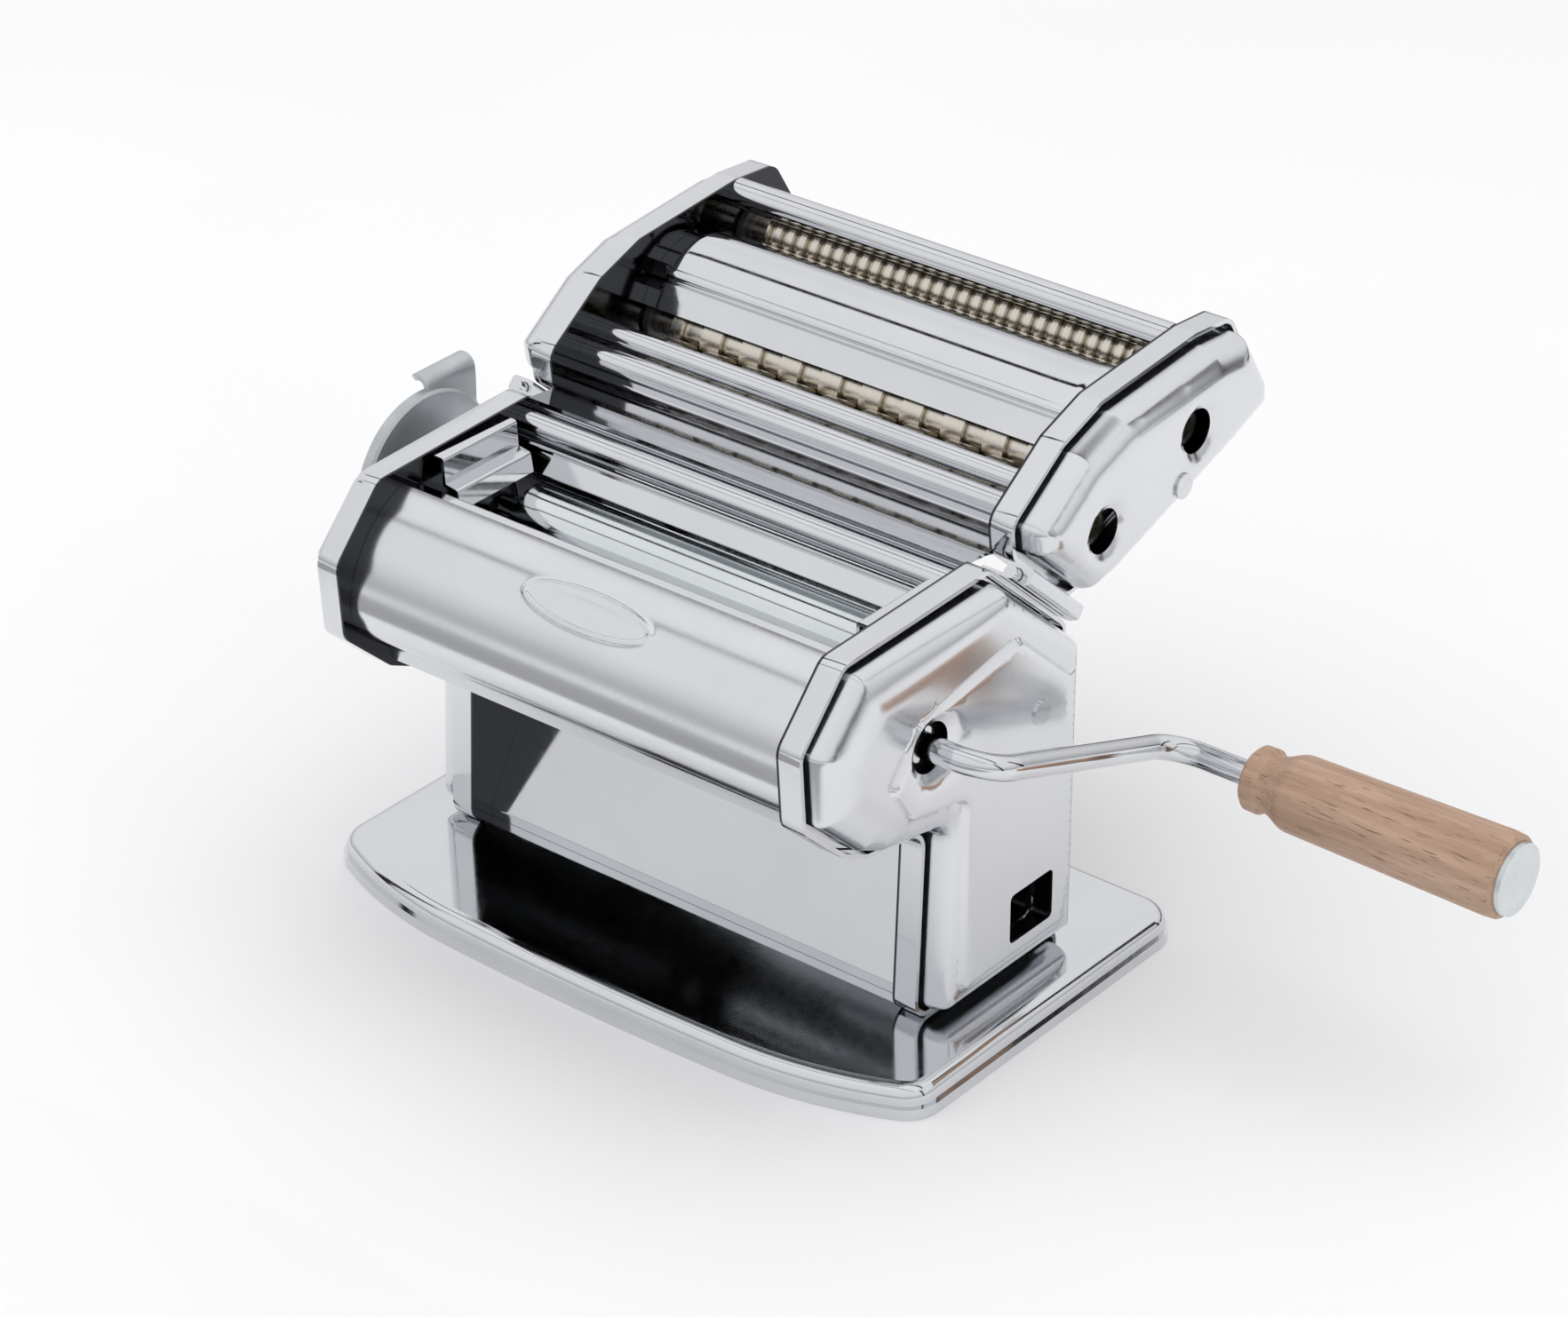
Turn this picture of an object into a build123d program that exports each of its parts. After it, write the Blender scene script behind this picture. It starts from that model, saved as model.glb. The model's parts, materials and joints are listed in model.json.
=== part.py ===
"""Hand-cranked pasta roller machine with a lift-off double cutter head.

Frame of the part: +X to the crank side, +Y to the rear, +Z up.  The origin is
under the middle of the base, on its lower face.  All sizes are millimetres.
"""
from build123d import *
from math import acos, cos, pi, radians, sin, tan
import os

os.makedirs("parts", exist_ok=True)

# ---------------------------------------------------------------- stand
base_half, base_back, base_top = 124.0, 78.0, 11.0
bow_flat, bow_corner, bow_nose = -80.1, -62.0, -81.6     # y of the bowed front edge
rim_height, rim_step, shoulder = 4.0, 1.0, 5.0
sheet = 1.2                                              # pressed sheet of every cover

# ---------------------------------------------------------------- body
plate_in, plate_sheet, flange_x = 89.0, 1.5, 98.0        # end plates and their flanges
cover_x, cover_gap = 109.5, 0.3                          # outer face of a side cover
slope_top = (2.0, 159.5)                                 # upper end of the rear slope
slope_dir = (0.745, -0.667)                              # along the slope, down to the rear
slope_out = (0.667, 0.745)                               # square to the slope, outwards
body_rear, leg_front, leg_crook = 42.7, -33.0, 80.0
slope_end = slope_top[1] + (body_rear - slope_top[0]) * slope_dir[1] / slope_dir[0]
body_outline = [
    (-70.0, 157.5), slope_top, (body_rear, slope_end), (body_rear, base_top),
    (leg_front, base_top), (leg_front + 3, leg_crook), (-58.0, 84.5),
    (-69.0, 89.7), (-89.0, 108.0), (-91.0, 135.0),
]
panel = [(-72.0, 121.6), (-53.5, 140.1), (9.2, 136.6), (34.0, 113.9), (34.0, 92.0), (-50.0, 97.0)]
window_y, window_z, window_w, window_h = 12.3, 37.0, 22.4, 18.0
body_screw_y, body_screw_z = 14.7, 107.3

# ---------------------------------------------------------------- rollers
roller_r, roller_half, roller_gap = 13.0, 75.0, 0.4
drive_y, drive_z = -39.0, 118.5
roller_tilt = radians(13.0)                              # line from drive to adjusting roller
roller_pitch = 2 * roller_r + roller_gap
adjust_y = drive_y + roller_pitch * cos(roller_tilt)
adjust_z = drive_z + roller_pitch * sin(roller_tilt)
roller_travel = 2.2
drive_shaft_r, mate_shaft_r = 6.0, 5.0
fit = 0.05                                               # radial running clearance
bush_wall = 3.0

# ---------------------------------------------------------------- crank
rod_r, socket_clear, socket_depth = 4.2, 0.07, 16.0
shaft_end = 104.0
arm_x, grip_y, grip_z = 129.0, 58.5, 83.0
bend_r = 13.0
grip_start, grip_end = 161.0, 257.5

# ---------------------------------------------------------------- cutter head
wide_y, wide_z = 46.4, 157.5
fine_y, fine_z = 95.5, 172.8
pair_tilt, pair_pitch = radians(17.0), 20.6
ring_r, groove_r = 11.0, 9.0
fine_step, fine_rings = 5.2, 29
wide_step, wide_rings = 16.6, 9
cutter_x = 110.0
cutter_outline = [
    (13.6, 157.4), (12.0, 170.0), (38.0, 188.0), (58.0, 195.0), (108.0, 199.0), (128.0, 197.5),
    (142.0, 175.0), (142.0, 163.0), (118.0, 154.0), (56.0, 134.0), (42.0, 132.0),
]
cutter_screw_y, cutter_screw_z = 86.9, 157.4

# ---------------------------------------------------------------- thickness regulator
knob_r, knob_in, knob_out, lever_out = 31.0, -121.0, -126.0, -131.5


def polygon(points, corner=0.0, inset=0.0):
    """A closed outline in the sketch that is open, rounded and then drawn in."""
    with BuildSketch(Plane.XY) as shape:
        with BuildLine():
            Polyline(*points, close=True)
        make_face()
        if corner:
            fillet(shape.vertices(), corner)
        if inset:
            offset(amount=-inset)
    return shape.sketch


def slab(points, x_from, x_to, corner=0.0, inset=0.0, edge=0.0):
    """A slab with the given side outline between two X planes, rounded at its far edge."""
    with BuildPart() as block:
        with BuildSketch(Plane.YZ.offset(x_from)):
            add(polygon(points, corner, inset))
        extrude(amount=x_to - x_from)
        if edge:
            fillet(block.faces().sort_by(Axis.X)[-1].edges(), edge)
    return block.part


def turned(y, z, steps, bores=()):
    """A solid of revolution about X: steps and bores are (x_from, x_to, radius)."""
    with BuildPart() as body:
        for part_steps, how in ((steps, Mode.ADD), (bores, Mode.SUBTRACT)):
            if part_steps:
                with BuildSketch(Plane((0, y, z), x_dir=(1, 0, 0), z_dir=(0, -1, 0))):
                    for x_from, x_to, radius in part_steps:
                        with Locations(((x_from + x_to) / 2, radius / 2)):
                            Rectangle(x_to - x_from, radius)
                revolve(axis=Axis((0, y, z), (1, 0, 0)), mode=how)
    return body.part


def hole_x(y, z, radius, x_from, x_to):
    """Cuts a round hole along X out of the part that is open."""
    with Locations(Location((x_from, y, z), (0, 90, 0))):
        Cylinder(radius, x_to - x_from, align=(Align.CENTER, Align.CENTER, Align.MIN),
                 mode=Mode.SUBTRACT)


def mirrored(part):
    """The same piece on the other side of the machine."""
    with BuildPart() as other:
        mirror(part, about=Plane.YZ)
    return other.part


def bent_sheet(points, half, thickness, bend=3.0):
    """A sheet as wide as 2 x half, bent along the given side line, thickened to its right."""
    with BuildPart() as bent:
        with BuildSketch(Plane.YZ.offset(-half)):
            with BuildLine():
                FilletPolyline(*points, radius=bend)
                offset(amount=thickness, side=Side.RIGHT)
            make_face()
        extrude(amount=2 * half)
    return bent.part


def gear(y, z, x_from, x_to, teeth, pitch_r, phase, bore):
    """An involute spur gear about X; phase is the angle of one tooth's middle, in radians."""
    module = 2 * pitch_r / teeth
    base_r, tip_r, root_r = pitch_r * cos(radians(20)), pitch_r + 0.85 * module, pitch_r - 1.2 * module
    backlash = 0.35
    half_pitch_angle = pi / (2 * teeth) - backlash / (2 * pitch_r)

    def involute(angle):
        return tan(angle) - angle

    def half_angle(radius):
        slope = acos(min(1.0, base_r / radius))
        return half_pitch_angle + involute(radians(20)) - involute(slope)

    flank = [(root_r, half_angle(base_r))]
    for step in range(5):
        radius = base_r + (tip_r - base_r) * step / 4
        flank.append((radius, half_angle(radius)))
    points = []
    for tooth in range(teeth):
        middle = phase + 2 * pi * tooth / teeth
        rising = [(radius, middle - angle) for radius, angle in flank]
        falling = [(radius, middle + angle) for radius, angle in reversed(flank)]
        points += [(y + radius * cos(a), z + radius * sin(a)) for radius, a in rising + falling]
    with BuildPart() as wheel:
        with BuildSketch(Plane.YZ.offset(x_from)):
            with BuildLine():
                Polyline(*points, close=True)
            make_face()
            with Locations((y, z)):
                Circle(bore, mode=Mode.SUBTRACT)
        extrude(amount=x_to - x_from)
    return wheel.part


def on_slope(along, out):
    """The (y, z) of a point at a distance down the rear slope and out from it."""
    return (slope_top[0] + along * slope_dir[0] + out * slope_out[0],
            slope_top[1] + along * slope_dir[1] + out * slope_out[1])


def save(part, name):
    part.label = name
    export_step(part, f"parts/{name}.step")


# ---------------------------------------------------------------- base plate and its feet
def base_outline():
    with BuildSketch(Plane.XY) as shape:
        with BuildLine():
            middle = ThreePointArc((-60, bow_flat), (0, bow_nose), (60, bow_flat))
            right = TangentArc((60, bow_flat), (base_half, bow_corner), tangent=middle % 1)
            Polyline((base_half, bow_corner), (base_half, base_back), (-base_half, base_back),
                     (-base_half, bow_corner))
            mirror(right, about=Plane.YZ)
        make_face()
        fillet(shape.vertices().filter_by(lambda v: abs(v.X) > base_half - 1), 13)
    return shape.sketch


with BuildPart() as base_plate:
    with BuildSketch():
        add(base_outline())
    extrude(amount=rim_height)
    with BuildSketch(Plane.XY.offset(rim_height)):
        add(base_outline())
        offset(amount=-rim_step)
    extrude(amount=base_top - rim_height)
    fillet(base_plate.faces().sort_by(Axis.Z)[-1].edges(), shoulder)
    with BuildSketch():
        add(base_outline())
        offset(amount=-rim_step - sheet)
    extrude(amount=rim_height, mode=Mode.SUBTRACT)
    with BuildSketch(Plane.XY.offset(rim_height)):
        add(base_outline())
        offset(amount=-shoulder - sheet)
    extrude(amount=base_top - rim_height - sheet, mode=Mode.SUBTRACT)
save(base_plate.part, "base_plate")

with BuildPart() as base_feet:
    with BuildSketch():
        with GridLocations(190, 96, 2, 2):
            RectangleRounded(16, 16, 4)
        RectangleRounded(24, 16, 4)
    extrude(amount=base_top - sheet)
save(base_feet.part, "base_feet")

# ---------------------------------------------------------------- end plates
block_w, block_h = 22.0, 15.0

with BuildPart() as right_frame:
    add(slab(body_outline, plate_in, flange_x, corner=7))
    add(slab(body_outline, plate_in + plate_sheet, flange_x, corner=7, inset=plate_sheet),
        mode=Mode.SUBTRACT)
    hole_x(drive_y, drive_z, drive_shaft_r + bush_wall, plate_in, flange_x)
    with BuildSketch(Plane.YZ.offset(plate_in)):
        with Locations((window_y, window_z)):
            RectangleRounded(window_w, window_h, 2)
        slot_y = adjust_y + roller_travel / 2 * cos(roller_tilt)
        slot_z = adjust_z + roller_travel / 2 * sin(roller_tilt)
        with Locations(Location((slot_y, slot_z, 0), (0, 0, 13))):
            Rectangle(2 * mate_shaft_r + roller_travel + 1.2, 2 * mate_shaft_r + 1.2)
    extrude(amount=plate_sheet, mode=Mode.SUBTRACT)
save(right_frame.part, "right_frame")
save(mirrored(right_frame.part), "left_frame")

# ---------------------------------------------------------------- side covers
cover_inset = plate_sheet + cover_gap
cover_in = plate_in + plate_sheet + 0.5


def side_cover():
    with BuildPart() as cover:
        add(slab(body_outline, cover_in, cover_x - 0.8, corner=7, inset=cover_inset, edge=6))
        with BuildSketch(Plane.YZ.offset(cover_x - 1.0)):
            add(polygon(panel, 4))
        extrude(amount=1.0)
        add(slab(body_outline, cover_in, cover_x - 0.8 - sheet, corner=7,
                 inset=cover_inset + sheet, edge=4.8), mode=Mode.SUBTRACT)
        with BuildSketch(Plane.YZ.offset(cover_in)):
            with Locations((window_y, window_z)):
                RectangleRounded(window_w, window_h, 2)
        extrude(amount=cover_x - cover_in, mode=Mode.SUBTRACT)
        hole_x(body_screw_y, body_screw_z, 2.5, cover_in, cover_x)
    return cover.part


with BuildPart() as right_cover:
    add(side_cover())
    hole_x(drive_y, drive_z, 8.6, cover_in, cover_x)
save(right_cover.part, "right_cover")

with BuildPart() as left_cover:
    mirror(side_cover(), about=Plane.YZ)
    hole_x(adjust_y, adjust_z, 6.0, -cover_x, -cover_in)
save(left_cover.part, "left_cover")

# ---------------------------------------------------------------- sheets between the end plates
span = plate_in - 0.05

with BuildPart() as front_cover:
    with BuildSketch(Plane.YZ.offset(-span)):
        with BuildLine():
            brow = ThreePointArc((-59.8, 152.3), (-77.5, 140.0), (-85.8, 122.0))
            chin = TangentArc((-85.8, 122.0), (-80.0, 106.0), tangent=brow % 1)
            Polyline((-80.0, 106.0), (-69.0, 97.5), (-67.5, 91.5))
            offset(amount=sheet, side=Side.LEFT)
        make_face()
    extrude(amount=2 * span)
save(front_cover.part, "front_cover")

save(bent_sheet([(-58.0, 148.8), (-50.8, 148.8), (-47.0, 134.0)], span, sheet, 1.5), "front_guide")
save(bent_sheet([(-9.0, 139.2), (-5.2, 145.2), (-4.6, 146.6), (-8.2, 148.2)], span, sheet, 0.3), "rear_guide")
chute_line = [(-23.5, base_top + 0.1), (-23.5, 14.5), (17.5, 90.0), (20.5, 122.0)]
save(bent_sheet(chute_line, span, sheet, [1.2, 40.0]), "chute")
rear_line = [(3.0, 150.0), (3.0, 157.0), on_slope(50.0, -1.6)]
save(bent_sheet(rear_line, span, sheet, 0.8), "rear_cover")

with BuildPart() as tie_rods:
    for rod_y, rod_z, radius in ((-1.8, 151.6, 4.4), (-66.0, 104.0, 4.0), (28.0, 100.0, 4.0)):
        add(turned(rod_y, rod_z, [(-span, span, radius)]))
save(tie_rods.part, "tie_rods")

# ---------------------------------------------------------------- hopper ends
guard_in = roller_half + 1.2
guard_line = [(plate_in - 0.05, 156.0), (plate_in - 4.0, 156.0), (plate_in - 4.6, 147.2),
              (guard_in + 3.0, 146.4), (guard_in + 2.0, 140.5)]
with BuildPart() as right_side_guide:
    with BuildSketch(Plane.XZ.offset(11.0)):
        with BuildLine():
            Polyline(*guard_line)
            offset(amount=sheet, side=Side.RIGHT)
        make_face()
    extrude(amount=35.0)
save(right_side_guide.part, "right_side_guide")
save(mirrored(right_side_guide.part), "left_side_guide")

# ---------------------------------------------------------------- rollers and their gears
gear_in, gear_out = 96.5, 102.0
roller_teeth = 12

with BuildPart() as drive_roller:
    add(turned(drive_y, drive_z,
               [(-roller_half, roller_half, roller_r), (-94.0, shaft_end, drive_shaft_r)],
               [(shaft_end - socket_depth, shaft_end, rod_r + socket_clear)]))
    with BuildSketch(Plane.YZ.offset(shaft_end - 5)):
        with Locations((drive_y, drive_z)):
            Rectangle(2.6, 2 * drive_shaft_r + 1)
    extrude(amount=5, mode=Mode.SUBTRACT)
save(drive_roller.part, "drive_roller")
save(turned(adjust_y, adjust_z,
            [(-roller_half, roller_half, roller_r), (-95.5, 103.0, mate_shaft_r)]), "adjust_roller")
save(gear(drive_y, drive_z, gear_in, gear_out, roller_teeth, roller_pitch / 2,
          roller_tilt, drive_shaft_r), "drive_gear")
save(gear(adjust_y, adjust_z, gear_in, gear_out, roller_teeth, roller_pitch / 2,
          roller_tilt + pi / roller_teeth, mate_shaft_r), "adjust_gear")



def bush(y, z, shaft_r, x_from, x_to):
    return turned(y, z, [(x_from, x_to, shaft_r + bush_wall)], [(x_from, x_to, shaft_r + fit)])


with BuildPart() as drive_bushes:
    add(bush(drive_y, drive_z, drive_shaft_r, 86.0, 92.5))
    add(bush(drive_y, drive_z, drive_shaft_r, -92.5, -86.0))
save(drive_bushes.part, "drive_bushes")

with BuildPart() as carriage_blocks:
    with BuildSketch(Plane.YZ.offset(91.0)):
        with Locations(Location((adjust_y, adjust_z, 0), (0, 0, 13))):
            RectangleRounded(block_w - 4, block_h, 2)
            Circle(mate_shaft_r + fit, mode=Mode.SUBTRACT)
    extrude(amount=4.5)
    mirror(about=Plane.YZ)
save(carriage_blocks.part, "carriage_blocks")

with BuildPart() as scrapers:
    for blade_y, blade_z, lean in ((drive_y - 4.0, drive_z - 19.5, 12), (adjust_y - 1.0, adjust_z - 19.0, -8)):
        with BuildSketch(Plane.YZ.offset(-roller_half)):
            with Locations(Location((blade_y, blade_z, 0), (0, 0, lean))):
                Rectangle(sheet, 10.0)
        extrude(amount=2 * roller_half)
save(scrapers.part, "scrapers")

with BuildPart() as body_screws:
    for side in (-1, 1):
        head = [(cover_x, cover_x + 0.8, 4.3), (cover_x - 9.0, cover_x, 2.4)]
        add(turned(body_screw_y, body_screw_z,
                   [(min(side * a, side * b), max(side * a, side * b), r) for a, b, r in head]))
save(body_screws.part, "body_screws")

# ---------------------------------------------------------------- rails on the rear slope
bead_x, bead_r, bead_out = 101.0, 2.2, 2.3
rail_from, rail_to = 6.0, 50.0


def along_slope(profile_x_out, start, stop):
    """Extrudes a closed (x, out) profile down the rear slope."""
    top_y, top_z = on_slope(start, 0)
    plane = Plane((0, top_y, top_z), x_dir=(1, 0, 0), z_dir=(0, -slope_dir[0], -slope_dir[1]))
    with BuildPart() as run:
        with BuildSketch(plane):
            profile_x_out()
        extrude(amount=start - stop)
    return run.part


def rail_profile():
    with Locations((bead_x, bead_out)):
        Circle(bead_r)
    with Locations((96.0, 0.7)):
        Rectangle(10.0, sheet)


def clip_profile():
    with Locations((102.2, 3.2)):
        RectangleRounded(9.0, 5.6, 1.5)
    with Locations((bead_x, bead_out)):
        Circle(bead_r + 0.3, mode=Mode.SUBTRACT)
    with Locations((95.0, 0.3)):
        Rectangle(12.0, 3.0, mode=Mode.SUBTRACT)


with BuildPart() as mounting_rails:
    add(along_slope(rail_profile, rail_from, rail_to))
    mirror(about=Plane.YZ)
save(mounting_rails.part, "mounting_rails")

with BuildPart() as cutter_clips:
    add(along_slope(clip_profile, 10.0, 46.0))
    mirror(about=Plane.YZ)
save(cutter_clips.part, "cutter_clips")

# ---------------------------------------------------------------- crank
with BuildPart() as crank_rod:
    with BuildLine():
        FilletPolyline((shaft_end - socket_depth + 1, drive_y, drive_z), (arm_x, drive_y, drive_z),
                       (arm_x, grip_y, grip_z), (grip_end - 6, grip_y, grip_z), radius=bend_r)
    with BuildSketch(Plane((shaft_end - socket_depth + 1, drive_y, drive_z), z_dir=(1, 0, 0))):
        Circle(rod_r)
    sweep()
    with Locations(Location((shaft_end - 2.5, drive_y, drive_z))):
        Box(2.2, 2.2, 2 * drive_shaft_r - 0.6)
save(crank_rod.part, "crank_rod")

with BuildPart() as crank_grip:
    with BuildSketch(Plane((0, grip_y, grip_z), x_dir=(1, 0, 0), z_dir=(0, -1, 0))):
        with BuildLine():
            x = grip_start
            Polyline((x, 0), (x, 9.6), (x + 1.2, 10.8), (x + 5.2, 10.9), (x + 7.0, 9.6))
            Spline((x + 7.0, 9.6), (x + 17.0, 12.8), tangents=[(1, 0), (1, 0.10)])
            Polyline((x + 17.0, 12.8), (grip_end - 7.0, 14.0), (grip_end - 3.4, 13.7),
                     (grip_end - 2.0, 12.6), (grip_end - 2.0, 0), (x, 0))
        make_face()
    revolve(axis=Axis((0, grip_y, grip_z), (1, 0, 0)))
    hole_x(grip_y, grip_z, rod_r + socket_clear, grip_start, grip_end - 4.5)
save(crank_grip.part, "crank_grip")
save(turned(grip_y, grip_z, [(grip_end - 2.0, grip_end, 11.9)]), "grip_cap")

# ---------------------------------------------------------------- thickness regulator
save(turned(adjust_y, adjust_z, [(-101.5, -97.0, 8.5), (knob_in - 1.5, -101.5, 5.0)]), "regulator_spindle")
save(turned(adjust_y, adjust_z, [(-112.0, -cover_x, 21.0)], [(-112.0, -cover_x, 5.4)]), "detent_plate")

with BuildPart() as regulator_knob:
    with Locations(((knob_out + lever_out) / 2 + 1.0, adjust_y + 14.0, adjust_z + knob_r + 1.5)):
        Box(knob_out - lever_out + 2.0, 24.0, 3.0)
    with Locations(((knob_out + knob_in) / 2, adjust_y + 14.0, adjust_z + knob_r - 3.5)):
        Box(knob_in - knob_out, 24.0, 12.0)
    add(turned(adjust_y, adjust_z, [(knob_out, knob_in, knob_r), (knob_in - 1, -113.5, 12.0)]))
    hole_x(adjust_y, adjust_z, 5.0 + fit, knob_in - 2, -113.5)
    hole_x(adjust_y - 1.5, adjust_z + 21.5, 3.2, knob_out, knob_in)
save(regulator_knob.part, "regulator_knob")
save(turned(adjust_y, adjust_z, [(knob_out - 2.4, knob_out, 6.0)]), "knob_screw")
save(turned(adjust_y + 17.0, adjust_z, [(knob_in, -112.6, 1.6)]), "detent_pin")

# ---------------------------------------------------------------- cutter head
wide_mate = (wide_y + pair_pitch * cos(pair_tilt), wide_z + pair_pitch * sin(pair_tilt))
fine_mate = (fine_y + pair_pitch * cos(pair_tilt), fine_z + pair_pitch * sin(pair_tilt))
shafts = [(wide_y, wide_z, drive_shaft_r), (fine_y, fine_z, drive_shaft_r),
          (*wide_mate, mate_shaft_r), (*fine_mate, mate_shaft_r)]

with BuildPart() as cutter_right_plate:
    add(slab(cutter_outline, plate_in, flange_x, corner=7))
    add(slab(cutter_outline, plate_in + plate_sheet, flange_x, corner=7, inset=plate_sheet),
        mode=Mode.SUBTRACT)
    for y, z, radius in shafts:
        hole_x(y, z, radius + bush_wall, plate_in, flange_x)
save(cutter_right_plate.part, "cutter_right_plate")
save(mirrored(cutter_right_plate.part), "cutter_left_plate")


def cutter_cover():
    with BuildPart() as cover:
        add(slab(cutter_outline, cover_in, cutter_x, corner=7, inset=cover_inset, edge=6))
        add(slab(cutter_outline, cover_in, cutter_x - sheet, corner=7,
                 inset=cover_inset + sheet, edge=4.8), mode=Mode.SUBTRACT)
        hole_x(cutter_screw_y, cutter_screw_z, 2.5, cover_in, cutter_x)
    return cover.part


with BuildPart() as cutter_right_cover:
    add(cutter_cover())
    hole_x(wide_y, wide_z, 8.0, cover_in, cutter_x)
    hole_x(fine_y, fine_z, 8.0, cover_in, cutter_x)
save(cutter_right_cover.part, "cutter_right_cover")
save(mirrored(cutter_cover()), "cutter_left_cover")

hood_line = [(55.5, 173.2), (62.5, 184.0), (69.0, 190.2), (80.0, 191.8), (94.0, 187.2)]
save(bent_sheet(hood_line, span, sheet, [3.0, 5.0, 8.0]), "cutter_hood")

with BuildPart() as cutter_bars:
    for bar_y, bar_z, radius in ((108.6, 194.0, 5.2), (36.9, 170.2, 3.8), (29.6, 164.6, 4.3)):
        add(turned(bar_y, bar_z, [(-span, span, radius)]))
save(cutter_bars.part, "cutter_bars")
apron_line = [(0.8, 159.2), (12.0, 158.0), (28.0, 154.0), (32.0, 155.0), (32.6, 158.4)]
save(bent_sheet(apron_line, span, sheet, 1.3), "cutter_apron")
save(bent_sheet([(108.0, 160.0), (124.0, 164.0), (134.5, 170.0), (133.0, 180.0)], span, sheet, 2.5), "cutter_back")


def grooved_roller(y, z, shaft_r, step, rings, shifted, x_to):
    """A cutting roller: rings of half a step on a core, the mate shifted by half a step."""
    spread = [(index - (rings - 1) / 2) * step for index in range(rings + (0 if shifted else 1))]
    centres = [x if shifted else x - step / 2 for x in spread]
    ring_half = step / 4 - 0.12
    steps = [(max(x - ring_half, -roller_half), min(x + ring_half, roller_half), ring_r) for x in centres]
    socket = [(shaft_end - socket_depth, shaft_end, rod_r + socket_clear)] if x_to == shaft_end else ()
    return turned(y, z, [(-roller_half, roller_half, groove_r), (-98.5, x_to, shaft_r)] + steps, socket)


for name, position, mate, step, rings in (("fine", (fine_y, fine_z), fine_mate, fine_step, fine_rings),
                                          ("wide", (wide_y, wide_z), wide_mate, wide_step, wide_rings)):
    save(grooved_roller(*position, drive_shaft_r, step, rings, True, shaft_end), f"{name}_cutter_driven")
    save(grooved_roller(*mate, mate_shaft_r, step, rings, False, 95.0), f"{name}_cutter_mate")
    save(gear(*position, -98.0, -93.0, 10, pair_pitch / 2, pair_tilt, drive_shaft_r), f"{name}_gear_driven")
    save(gear(*mate, -98.0, -93.0, 10, pair_pitch / 2, pair_tilt + pi / 10, mate_shaft_r),
         f"{name}_gear_mate")

with BuildPart() as cutter_bushes:
    for y, z, radius in shafts:
        add(bush(y, z, radius, 87.0, 92.0))
        add(bush(y, z, radius, -92.0, -87.0))
save(cutter_bushes.part, "cutter_bushes")

with BuildPart() as cutter_screws:
    for side in (-1, 1):
        head = [(cutter_x, cutter_x + 0.8, 4.3), (cutter_x - 9.0, cutter_x, 2.4)]
        add(turned(cutter_screw_y, cutter_screw_z,
                   [(min(side * a, side * b), max(side * a, side * b), r) for a, b, r in head]))
save(cutter_screws.part, "cutter_screws")
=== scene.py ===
import json
import math

import bmesh
import bpy
import numpy as np
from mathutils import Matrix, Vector
from mathutils.geometry import delaunay_2d_cdt


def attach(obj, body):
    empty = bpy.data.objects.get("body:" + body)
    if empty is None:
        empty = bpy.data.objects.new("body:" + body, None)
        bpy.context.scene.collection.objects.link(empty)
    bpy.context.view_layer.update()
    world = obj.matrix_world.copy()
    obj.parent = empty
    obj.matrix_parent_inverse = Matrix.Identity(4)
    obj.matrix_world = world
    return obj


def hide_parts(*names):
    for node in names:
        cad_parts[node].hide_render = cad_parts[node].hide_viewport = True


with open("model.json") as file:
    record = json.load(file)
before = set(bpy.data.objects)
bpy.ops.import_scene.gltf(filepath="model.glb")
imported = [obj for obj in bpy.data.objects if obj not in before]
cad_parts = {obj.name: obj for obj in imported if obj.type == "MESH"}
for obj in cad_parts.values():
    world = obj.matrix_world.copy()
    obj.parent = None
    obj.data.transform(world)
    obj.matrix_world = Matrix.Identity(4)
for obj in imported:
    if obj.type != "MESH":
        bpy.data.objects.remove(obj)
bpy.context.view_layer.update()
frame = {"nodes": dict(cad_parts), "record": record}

mm = 0.001
nodes = frame["nodes"]
print("frame loaded:", len(nodes), "nodes")


def linearColour(hexColour):
    # sRGB hex to the linear values that a shader takes
    values = [int(hexColour[i:i + 2], 16) / 255 for i in (1, 3, 5)]
    return tuple(v / 12.92 if v <= 0.04045 else ((v + 0.055) / 1.055) ** 2.4 for v in values) + (1.0,)


def addNode(tree, kind, settings=None, links=None):
    # settings are attributes or socket values; links are socket: output socket of another node
    made = tree.nodes.new(kind)
    for name, value in (settings or {}).items():
        if isinstance(name, str) and hasattr(made, name):
            setattr(made, name, value)
        else:
            made.inputs[name].default_value = value
    for name, source in (links or {}).items():
        tree.links.new(source, made.inputs[name])
    return made


# camera, floor and studio light
studio = {
    "cameraAt": (0.8860, -1.07087, 0.88929),
    "azimuth": 39.01, "elevation": 29.79,      # degrees, looking back and down
    "lens": 114.2,
    "lampsAimAt": (0, 0, 0.1),
    # elevation as a height from -1 to 1, and how bright the white tent is there
    "tent": [(-1.0, 0.55), (-0.12, 0.55), (0.0, 0.50), (0.10, 0.56), (0.24, 0.78), (0.42, 0.92),
             (0.62, 0.90), (0.82, 0.97), (1.0, 1.0)],
    "tentStrength": 1.0,
}

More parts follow.
